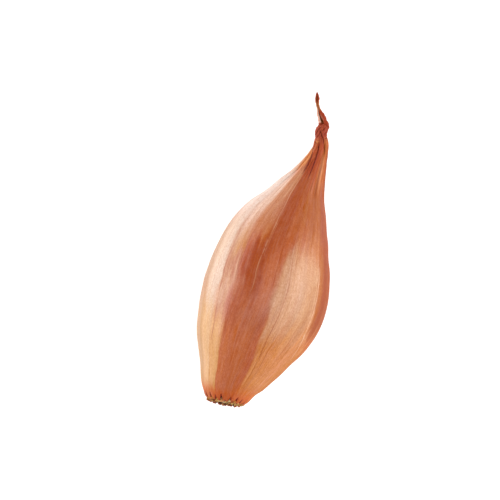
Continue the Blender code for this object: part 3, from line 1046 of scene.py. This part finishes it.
def turn_faces_outward(piece):
    """Merges doubles and turns all faces outward."""
    select_only(piece)
    bpy.ops.object.mode_set(mode="EDIT")
    bpy.ops.mesh.select_all(action="SELECT")
    bpy.ops.mesh.remove_doubles(threshold=0.001 * MM)
    bpy.ops.mesh.normals_make_consistent(inside=False)
    bpy.ops.object.mode_set(mode="OBJECT")


leaf, leaf_place, leaf_across = make_leaf()
leaf_points = len(leaf.data.vertices)
apply_modifier(leaf, "thickness", "SOLIDIFY", thickness=LEAF_THICKNESS * MM, offset=0)
turn_faces_outward(leaf)
thick = mesh_points(leaf)
print("leaf tip:", leaf_points, "points before and", len(thick), "after it gets its thickness")

# %% Colours of the leaf
LEAF_BROWN, LEAF_TWIST, LEAF_EDGE_AND_HIGHLIGHT, LEAF_INSIDE, LEAF_FOOT = "a83e1e", "b8703c", "e2b09a", "a8561a", "96361a"
# Where along the leaf its left edge is pale, its right edge is, and it is twisted shut.
PALE_AT_LEFT, PALE_AT_RIGHT = (96.6, 97.4, 100.2, 101.5), (96.8, 98, 98.6, 99.6)
TWISTED = (99.5, 101, 102, 103.5)

# The second wall has the same points in the same order. The one nearer the roll's axis is the inside.
leaf_place, leaf_across = np.tile(leaf_place, 2), np.tile(leaf_across, 2)
axis_x, axis_z = (np.interp(thick[:, 1], leaf_table[:, 0], leaf_table[:, i]) for i in (1, 3))
from_axis = np.hypot(thick[:, 0] - axis_x, (thick[:, 2] - axis_z) / LEAF_SQUASH)
inside = from_axis < np.roll(from_axis, leaf_points)
# The left edge is pale, partly its own thin edge and partly a painted highlight; the faint pale band on the
# right edge is a painted highlight.
left_edge = (1 - smooth_step(-0.7, -0.45, leaf_across)) * between(PALE_AT_LEFT, leaf_place)
right_edge_highlight = smooth_step(0.8, 0.95, leaf_across) * between(PALE_AT_RIGHT, leaf_place)
colour = np.tile(linear(LEAF_BROWN)[:3], (len(thick), 1))
for tint, share in (
    (LEAF_TWIST, 0.8 * between(TWISTED, leaf_place)),
    (LEAF_EDGE_AND_HIGHLIGHT, 0.95 * left_edge),
    (LEAF_EDGE_AND_HIGHLIGHT, 0.2 * right_edge_highlight),
    (LEAF_INSIDE, 0.95 * inside * (1 - smooth_step(0.8, 0.97, np.abs(leaf_across)))),
    (LEAF_FOOT, 1 - smooth_step(95.8, 97.2, leaf_place)),
):
    colour = mixed(colour, tint, share)
colour *= (1 + 0.18 * soft_noise(thick, 0.5, 2.2, seed=21))[:, None]
keep_colours(leaf, "leaf_colour", np.clip(colour, 0, 1))
print("inside of the roll:", int(inside.sum()), "of", len(thick), "points")


# %% Dry leaf material
def dead_tissue(name, colour_name, size_mm, detail, tones, ridge_mm, strength, roughness, specular):
    """A dull material: the colour kept on the points, broken up by a grain that is its relief too."""
    material = bpy.data.materials.new(name)
    material.use_nodes = True
    tree = material.node_tree
    shader = tree.nodes["Principled BSDF"]
    painted = add_node(tree, "ShaderNodeAttribute", attribute_name=colour_name)
    where = add_node(tree, "ShaderNodeTexCoord")
    per_grain = {0: where.outputs["Object"], 1: tuple(1 / (side * MM) for side in size_mm)}
    place = add_node(tree, "ShaderNodeVectorMath", per_grain, operation="MULTIPLY")
    grain = add_node(tree, "ShaderNodeTexNoise", {"Vector": place.outputs[0], "Scale": 1.0, "Detail": detail})
    darkest, palest = tones
    ends = {"From Min": 0.3, "From Max": 0.7, "To Min": darkest, "To Max": palest}
    tone = add_node(tree, "ShaderNodeMapRange", {"Value": grain.outputs["Fac"], **ends})
    toned_inputs = {"Color": painted.outputs["Color"], "Value": tone.outputs[0]}
    toned = add_node(tree, "ShaderNodeHueSaturation", toned_inputs)
    bump_inputs = {"Height": grain.outputs["Fac"], "Strength": strength, "Distance": ridge_mm * MM}
    bump = add_node(tree, "ShaderNodeBump", bump_inputs)
    tree.links.new(toned.outputs["Color"], shader.inputs["Base Color"])
    tree.links.new(bump.outputs["Normal"], shader.inputs["Normal"])
    shader.inputs["Roughness"].default_value = roughness
    shader.inputs["IOR"].default_value = PLANT_IOR
    shader.inputs["Specular IOR Level"].default_value = specular
    return material


# A dead leaf is dull and crumpled, with wrinkles of a quarter of a millimetre.
dry_leaf = dead_tissue(
    "dead dry leaf",
    "leaf_colour",
    size_mm=(0.25, 0.25, 3),
    detail=2,
    tones=(0.8, 1.15),
    ridge_mm=0.08,
    strength=0.6,
    roughness=0.6,
    specular=0.2,
)
leaf.data.materials.append(dry_leaf)
lay_down(leaf)
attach(leaf, "root")
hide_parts("dry_leaf_tip")
print("leaf in", dry_leaf.name)

# %% [markdown]
# ## The root plate
# The corky disc at the bottom of a bulb is its stem. Last year's roots broke off around it and left
# pale blunt stubs, which poke out between the torn points of skin, and in its hollow middle lies a mat
# of thin dry roots. The disc is a body of rings like the bulb, with a pitted face. The stubs and the
# roots are each modelled once and copied, with a size, bend and shade of their own.

# %% The corky disc
# Each ring: distance past the rim, radius.
PLATE_RINGS = (
    (-1.20, 4.9),
    (-0.75, 5.25),
    (-0.40, 5.2),
    (-0.15, 4.9),
    (0.00, 4.3),
    (-0.05, 3.5),
    (-0.30, 2.7),
    (-0.50, 1.8),
    (-0.55, 0.8),
)
PLATE_SEGMENTS = 48
CORK, CORK_RIDGE, CORK_PIT_SHADE, CORK_HOLLOW_SHADE = "6b4420", "b98a4c", "2e1a0a", "33200f"
CORK_GRAINS = ((1.0, 0.42, 31), (0.45, 0.22, 32))  # how wide and deep in millimetres, and the seed
rim_centre, rim_across, _ = (column[0] for column in sections(BULB_STATIONS, [ROOT_END]))
rim_back = np.array([rim_across[1], -rim_across[0], 0.0])
rim_turn = math.atan2(-rim_across[1], rim_across[0])


def plate_point(past, radius, degrees):
    """A point at the root end: distance past the rim, distance from the axis, and angle round."""
    turn = math.radians(degrees)
    sideways = rim_across * math.cos(turn) + np.array([0, 0, FLATNESS]) * math.sin(turn)
    return rim_centre + rim_back * past + sideways * radius


plate_rings = [(plate_point(past, 0, 0), rim_turn, radius) for past, radius in PLATE_RINGS]
plate = extrude_rings("root_disc", plate_rings, PLATE_SEGMENTS)
apply_modifier(plate, "rounding", "SUBSURF", levels=3, render_levels=3)
points = mesh_points(plate)
pits = sum(soft_noise(points, wide, wide, seed) * deep for wide, deep, seed in CORK_GRAINS)
from_rim = points - rim_centre
from_centre = np.hypot(from_rim @ rim_across, from_rim[:, 2] / FLATNESS)
front = smooth_step(-0.7, -0.2, from_rim @ rim_back)
points += rim_back * (pits * front)[:, None]
move_points(plate, points)
colour = np.tile(linear(CORK)[:3], (len(points), 1))
colour = mixed(colour, CORK_RIDGE, smooth_step(0.02, 0.3, pits))
# Painted shade: darker the deeper a pit is sunk, and darker in the hollow middle of the disc.
colour = mixed(colour, CORK_PIT_SHADE, 1 - smooth_step(-0.35, -0.02, pits))
colour = mixed(colour, CORK_HOLLOW_SHADE, (1 - smooth_step(2.2, 3.6, from_centre)) * 0.6)
keep_colours(plate, "root_colour", colour)
print("disc:", len(plate.data.polygons), "faces")

# %% One stub, modelled once
STUB_RADIUS = 0.5
# Each ring of the stub: how far it is above the last, how much wider, and how far aside.
STUB_RINGS = ((0.25, 1.12, 0.0), (0.3, 1.0, 0.04), (0.25, 0.92, 0.08), (0.14, 0.75, 0.05), (0.05, 0.45, 0.02))


def raise_rings(sides, radius, rings):
    """A filled circle at the origin, extruded up along Z ring by ring."""
    bpy.ops.object.select_all(action="DESELECT")
    bpy.ops.mesh.primitive_circle_add(vertices=sides, radius=radius * MM, fill_type="NGON")
    piece = bpy.context.object
    bpy.ops.object.mode_set(mode="EDIT")
    bpy.ops.mesh.select_all(action="SELECT")
    rise = 0.0
    for step, grow, lean in rings:
        rise += step
        bpy.ops.mesh.extrude_region_move(TRANSFORM_OT_translate={"value": (lean * MM, 0, step * MM)})
        bpy.ops.transform.resize(value=(grow, grow, 1), center_override=(0, 0, rise * MM))
    bpy.ops.mesh.select_all(action="SELECT")
    bpy.ops.mesh.normals_make_consistent(inside=False)
    bpy.ops.object.mode_set(mode="OBJECT")
    return piece


def copy_mesh(piece, name):
    """A copy of a piece with its own mesh."""
    copy = piece.copy()
    copy.data = piece.data.copy()
    copy.name = copy.data.name = name
    bpy.context.scene.collection.objects.link(copy)
    return copy


def join_pieces(pieces, name):
    """Joins pieces into one and shades it smooth."""
    select_only(pieces[0])
    for piece in pieces:
        piece.select_set(True)
    bpy.ops.object.join()
    bpy.ops.object.shade_smooth()
    pieces[0].name = pieces[0].data.name = name
    return pieces[0]


def direction_at(degrees, tilt):
    """A direction at the root end: outward from the axis when tilt is 90, straight back when it is 0."""
    turn, tilt = math.radians(degrees), math.radians(tilt)
    outward = rim_across * math.cos(turn) + np.array([0, 0, 1.0]) * math.sin(turn)
    return Vector(outward * math.sin(tilt) + rim_back * math.cos(tilt))


stub = raise_rings(8, STUB_RADIUS, STUB_RINGS)
apply_modifier(stub, "rounding", "SUBSURF", levels=1, render_levels=1)
print("one stub:", len(stub.data.polygons), "faces")

# %% Copy the stubs round the disc
STUB_SHADES = ("e0b468", "c98c3c", "b87428", "edcf92", "dc9458", "a0621e", "d69a44", "c88a40")
# Rows of stubs: how many, distance past the rim, distance from the axis, lean outward, length, width.
STUB_ROWS = (
    (26, -0.60, 5.0, 66, 1.1, 0.95),
    (24, -0.40, 4.5, 50, 1.0, 1.0),
    (19, -0.35, 3.8, 36, 0.9, 0.95),
    (12, -0.45, 2.9, 24, 0.85, 0.9),
)
pick = random.Random(5)
stub_spots = []
# One long stub pokes out of each split. Below, behind the lip, it sits further out and leans less.
for split in SPLITS:
    share = float(lip_share(split))
    past, radius, lean, length = -0.55 + 0.55 * share, 5.15 - 0.6 * share, 74 - 14 * share, 1.4 + 0.2 * share
    stub_spots.append((split, past, radius, lean, length, 1.2))
for count, past, radius, lean, length, width in STUB_ROWS:
    for i in range(count):
        degrees = 360 * (i + pick.uniform(-0.35, 0.35)) / count
        stub_spots.append((degrees, past + pick.uniform(-0.2, 0.15), radius, lean, length, width))

stub_height = mesh_points(stub)[:, 2]
# Painted shade: each stub is darker toward its foot, where it stands crowded among the others.
shaded_toward_foot = (0.45 + 0.6 * smooth_step(0.05, 0.7, stub_height))[:, None]
stub_pieces = []
for number, (degrees, past, radius, lean, length, width) in enumerate(stub_spots):
    copy = copy_mesh(stub, "stub")
    heading = direction_at(degrees, lean + pick.uniform(-16, 16))
    chips = soft_noise(mesh_points(copy), 0.45, 0.45, seed=number + 40)
    move_points(copy, mesh_points(copy) * (1 + 0.3 * chips)[:, None])
    spin = Matrix.Rotation(pick.uniform(0, math.tau), 4, "Z")
    wide = width * pick.uniform(0.6, 1.15)
    deep = width * pick.uniform(0.45, 0.9)
    long = length * pick.uniform(0.7, 1.15)
    place_matrix = Matrix.Translation(Vector(plate_point(past, radius, degrees)) * MM)
    tilted = heading.to_track_quat("Z", "Y").to_matrix().to_4x4()
    copy.data.transform(place_matrix @ tilted @ spin @ Matrix.Diagonal((wide, deep, long, 1)))
    shade = np.array(linear(pick.choice(STUB_SHADES))[:3])
    keep_colours(copy, "root_colour", np.clip(shade * shaded_toward_foot, 0, 1))
    stub_pieces.append(copy)
bpy.data.objects.remove(stub)
stubs = join_pieces(stub_pieces, "root_stubs")
print(len(stub_spots), "stubs,", len(stubs.data.polygons), "faces")

# %% Thin dry roots, matted in the hollow
ROOT_SHADES = ("d9c79c", "c9ad74", "b58f54", "a27a40", "e3d6b2", "8f6632")
ROOT_COUNT = 110
ROOT_SIDES, ROOT_STEPS = 5, 10
ROOT_DEPTH = -0.2  # where the mat lies, past the rim
MAT_RADIUS = 4.4  # where a root turns back


def bend_strand(strand, path, radius, flat):
    """Carries the straight strand's rings to the points of a path, and thins it toward the end."""
    points = mesh_points(strand)
    path = np.array(path)
    share = points[:, 2] * (len(path) - 1)
    low = np.clip(share.astype(int), 0, len(path) - 2)
    part = (share - low)[:, None]
    centre = path[low] * (1 - part) + path[low + 1] * part
    heading = path[low + 1] - path[low]
    heading /= np.linalg.norm(heading, axis=1)[:, None]
    side = np.cross(heading, (0.0, 1.0, 0.2))
    side /= np.linalg.norm(side, axis=1)[:, None]
    up = np.cross(heading, side)
    thin = radius * (1 - 0.6 * points[:, 2:3] ** 2)
    return centre + (side * points[:, 0:1] + up * points[:, 1:2] * flat) * thin


# The strand is straight, one millimetre in radius and one long. Each copy gets its own path and radius.
strand = raise_rings(ROOT_SIDES, 1.0, [(1 / ROOT_STEPS, 1.0, 0.0)] * ROOT_STEPS)
strands = []
for _ in range(ROOT_COUNT):
    here = plate_point(ROOT_DEPTH, pick.uniform(0.2, 3.9), pick.uniform(0, 360))
    heading, wander = pick.uniform(0, 360), pick.uniform(-60, 60)
    length, lift = pick.uniform(1.4, 4.2), pick.uniform(0.1, 0.9)
    path = []
    for step in range(ROOT_STEPS):
        share = step / (ROOT_STEPS - 1)
        rise = math.sin(share * math.pi) * lift * 0.6 + pick.uniform(-0.05, 0.05)
        path.append(here + rim_back * rise)
        ahead = np.array(direction_at(heading + wander * share, 90)) * length / ROOT_STEPS
        from_axis = np.linalg.norm(here + ahead - plate_point(ROOT_DEPTH, 0, 0))
        heading += 40 if from_axis > MAT_RADIUS else 0
        here = here + np.array(direction_at(heading + wander * share, 90)) * length / ROOT_STEPS
    copy = copy_mesh(strand, "root_hair")
    move_points(copy, bend_strand(copy, path, pick.uniform(0.09, 0.28), pick.uniform(0.25, 0.7)))
    shade = np.array(linear(pick.choice(ROOT_SHADES))[:3])
    keep_colours(copy, "root_colour", np.tile(shade, (len(copy.data.vertices), 1)))
    strands.append(copy)
bpy.data.objects.remove(strand)
root_hairs = join_pieces(strands, "root_hairs")
print(ROOT_COUNT, "dry roots,", len(root_hairs.data.polygons), "faces")

# %% Dried root material
# Dried cork is as dull as bark and full of pores, here a third of a millimetre wide.
dried_root = dead_tissue(
    "dried corky root",
    "root_colour",
    size_mm=(0.3, 0.3, 0.3),
    detail=3,
    tones=(0.62, 1.25),
    ridge_mm=0.12,
    strength=0.7,
    roughness=0.8,
    specular=0.5,
)
for piece in (plate, stubs, root_hairs):
    piece.data.materials.append(dried_root)
    lay_down(piece)
    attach(piece, "root")
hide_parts("root_plate")
print("root plate in", dried_root.name)
